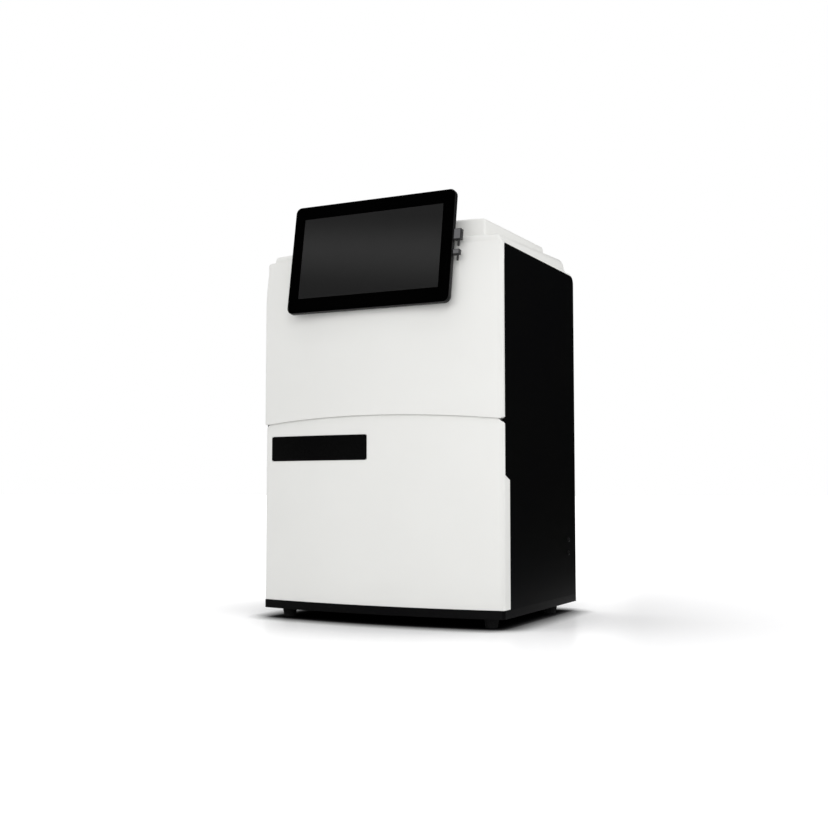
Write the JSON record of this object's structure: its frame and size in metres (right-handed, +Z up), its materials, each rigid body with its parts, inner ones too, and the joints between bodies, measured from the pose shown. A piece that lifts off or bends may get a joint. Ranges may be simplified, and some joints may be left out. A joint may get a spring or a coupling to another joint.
{
  "type": "gel documentation system",
  "caption": "Bench gel imaging cabinet with a bowed front, a pull-out blue-light drawer, a camera hood and a tilting touch screen.",
  "frame": {"origin": "centre of the bounding box's floor: midway across the width and between the screen's front-most edge and the rear-most face, at the feet's undersides", "axes": "+Z up, -Y towards the user's front, +X to the cabinet's right as seen from the front"},
  "size_m": [0.3792, 0.329, 0.5911],
  "materials": {
    "white_moulding": "satin white",
    "black_steel": "satin black powder coat",
    "zinc_steel": "zinc plated",
    "aluminium": "mill",
    "black_plastic": "fine texture",
    "grey_plastic": "satin",
    "screen_glass": "polished black",
    "display": "unlit display",
    "rubber": "matt",
    "nameplate": "satin black label",
    "amber_glass": "amber filter",
    "blue_glass": "blue filter glass",
    "opal": "opal diffuser",
    "circuit": "solder resist",
    "brass": "plated contacts"
  },
  "bodies": {
    "housing": {"base_pan": "black_steel", "rubber_feet": "rubber", "housing_screws": "zinc_steel", "front_frame": "black_steel", "left_chassis_plate": "zinc_steel", "right_chassis_plate": "zinc_steel", "rear_bulkhead": "black_steel", "left_side_panel": "black_steel", "right_side_panel": "black_steel", "rear_panel": "black_steel", "upper_fascia": "white_moulding", "top_cover": "white_moulding", "camera_hood": "white_moulding", "camera_shelf": "black_steel", "light_seal": "rubber", "camera_body": "black_plastic", "lens_barrel": "black_plastic", "filter_holder": "black_plastic", "amber_filter": "amber_glass", "white_light_bars": "aluminium", "light_diffusers": "opal", "control_board": "circuit", "power_supply": "aluminium", "mains_inlet": "black_plastic", "inlet_blades": "brass", "left_outer_rail": "zinc_steel", "right_outer_rail": "zinc_steel", "contact_block": "black_plastic", "drawer_magnet": "zinc_steel", "tablet_bracket": "black_steel", "hinge_pin": "zinc_steel"},
    "drawer": {"drawer_front": "white_moulding", "drawer_backing": "black_steel", "nameplate": "nameplate", "drawer_tray": "black_steel", "left_inner_rail": "zinc_steel", "right_inner_rail": "zinc_steel", "table_case": "black_steel", "blue_led_array": "circuit", "diffuser_plate": "opal", "viewing_glass": "blue_glass", "contact_plug": "black_plastic", "striker_plate": "zinc_steel"},
    "left_middle": {"left_middle_rail": "zinc_steel"},
    "right_middle": {"right_middle_rail": "zinc_steel"},
    "outer_cages": {"outer_ball_cages": "zinc_steel"},
    "inner_cages": {"inner_ball_cages": "zinc_steel"},
    "screen": {"screen_shell": "black_plastic", "screen_glass": "screen_glass", "screen_display": "display", "screen_cradle": "black_steel", "usb_plug": "grey_plastic", "micro_usb_plug": "grey_plastic"},
    "power_button": {"screen_power_button": "black_plastic"},
    "volume_rocker": {"screen_volume_rocker": "black_plastic"},
    "focus": {"focus_ring": "black_plastic"},
    "iris": {"iris_ring": "black_plastic"},
    "fuse_holder": {"fuse_drawer": "black_plastic"},
    "rocker": {"power_rocker": "black_plastic"}
  },
  "joints": [
    {"name": "drawer_slide", "type": "slide", "parent": "housing", "child": "drawer", "axis": [0, -1, 0], "range_m": [0, 0.2]},
    {"name": "left_middle_slide", "type": "slide", "parent": "housing", "child": "left_middle", "axis": [0, -1, 0], "range_m": [0, 0.1]},
    {"name": "right_middle_slide", "type": "slide", "parent": "housing", "child": "right_middle", "axis": [0, -1, 0], "range_m": [0, 0.1]},
    {"name": "outer_cage_slide", "type": "slide", "parent": "housing", "child": "outer_cages", "axis": [0, -1, 0], "range_m": [0, 0.05]},
    {"name": "inner_cage_slide", "type": "slide", "parent": "housing", "child": "inner_cages", "axis": [0, -1, 0], "range_m": [0, 0.15]},
    {"name": "screen_tilt", "type": "hinge", "parent": "housing", "child": "screen", "pos_m": [0, -0.12423, 0.538], "axis": [-1, 0, 0], "range_deg": [0, 30]},
    {"name": "power_button_press", "type": "slide", "parent": "screen", "child": "power_button", "axis": [0, -0.1564, -0.9877], "range_m": [0, 0.0005], "stiffness_N_per_m": 2000},
    {"name": "volume_rocker_press", "type": "slide", "parent": "screen", "child": "volume_rocker", "axis": [0, -0.1564, -0.9877], "range_m": [0, 0.0005], "stiffness_N_per_m": 2000},
    {"name": "focus_turn", "type": "hinge", "parent": "housing", "child": "focus", "pos_m": [0, 0.00702, 0.429], "axis": [0, 0, 1], "range_deg": [0, 150]},
    {"name": "iris_turn", "type": "hinge", "parent": "housing", "child": "iris", "pos_m": [0, 0.00702, 0.446], "axis": [0, 0, 1], "range_deg": [0, 60]},
    {"name": "fuse_drawer_pull", "type": "slide", "parent": "housing", "child": "fuse_holder", "axis": [0, 1, 0], "range_m": [0, 0.018]},
    {"name": "power_rocker_tip", "type": "hinge", "parent": "housing", "child": "rocker", "pos_m": [-0.11, 0.15742, 0.097], "axis": [-1, 0, 0], "range_deg": [0, 16]}
  ],
  "couplings": [
    {"joint": "left_middle_slide", "follows": "drawer_slide", "ratio": 0.5},
    {"joint": "right_middle_slide", "follows": "drawer_slide", "ratio": 0.5},
    {"joint": "outer_cage_slide", "follows": "drawer_slide", "ratio": 0.25},
    {"joint": "inner_cage_slide", "follows": "drawer_slide", "ratio": 0.75}
  ]
}
